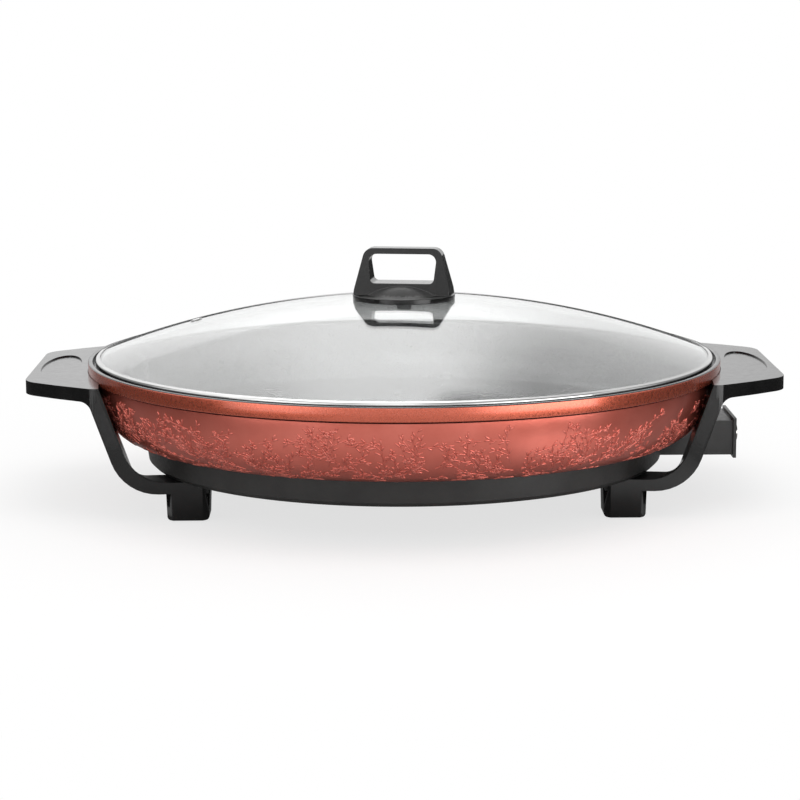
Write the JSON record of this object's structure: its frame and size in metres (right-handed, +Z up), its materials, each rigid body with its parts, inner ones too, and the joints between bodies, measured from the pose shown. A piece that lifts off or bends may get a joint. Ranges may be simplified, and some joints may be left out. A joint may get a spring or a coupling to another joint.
{
  "type": "electric skillet",
  "caption": "Round electric frying pan on moulded handle stands, with a lift-off domed glass lid, a loop knob and an inlet for a plug-in temperature control.",
  "frame": {"origin": "on the table, under the centre of the pan", "axes": "+Z up, +X out of the inlet for the plug-in control, +Y to the back"},
  "size_m": [0.468, 0.4, 0.1573],
  "materials": {
    "red_coat": "red metallic coat on cast aluminium",
    "shell_black": "satin dark coat",
    "phenolic": "gloss black moulding",
    "pad_rubber": "matt",
    "steel": "plated",
    "sheath": "dull, heat-darkened",
    "shield_sheet": "bright sheet",
    "ceramic": "ceramic",
    "pin_plate": "nickel plate",
    "lid_glass": "clear toughened glass",
    "ring_steel": "polished stainless steel",
    "silicone": "matt silicone"
  },
  "bodies": {
    "cooker": {"pan": "red_coat", "base_shell": "shell_black", "handle_stand_left": "phenolic", "handle_stand_right": "phenolic", "foot_pads": "pad_rubber", "foot_screws": "steel", "heating_element": "sheath", "element_clamps": "steel", "clamp_screws": "steel", "heat_shield": "shield_sheet", "shield_screw": "steel", "inlet_housing": "phenolic", "inlet_screws": "steel", "terminal_block": "ceramic", "terminal_beads": "ceramic", "terminal_pins": "pin_plate", "probe_tube": "pin_plate"},
    "lid": {"lid_glass": "lid_glass", "lid_ring": "ring_steel", "vent_eyelet": "ring_steel", "lid_knob": "phenolic", "knob_gasket": "silicone", "knob_sleeve": "silicone", "knob_washer": "steel", "knob_screw": "steel"}
  },
  "joints": [
    {"name": "lid_lift", "type": "slide", "parent": "cooker", "child": "lid", "axis": [0, 0, 1], "range_m": [0, 0.15]}
  ]
}
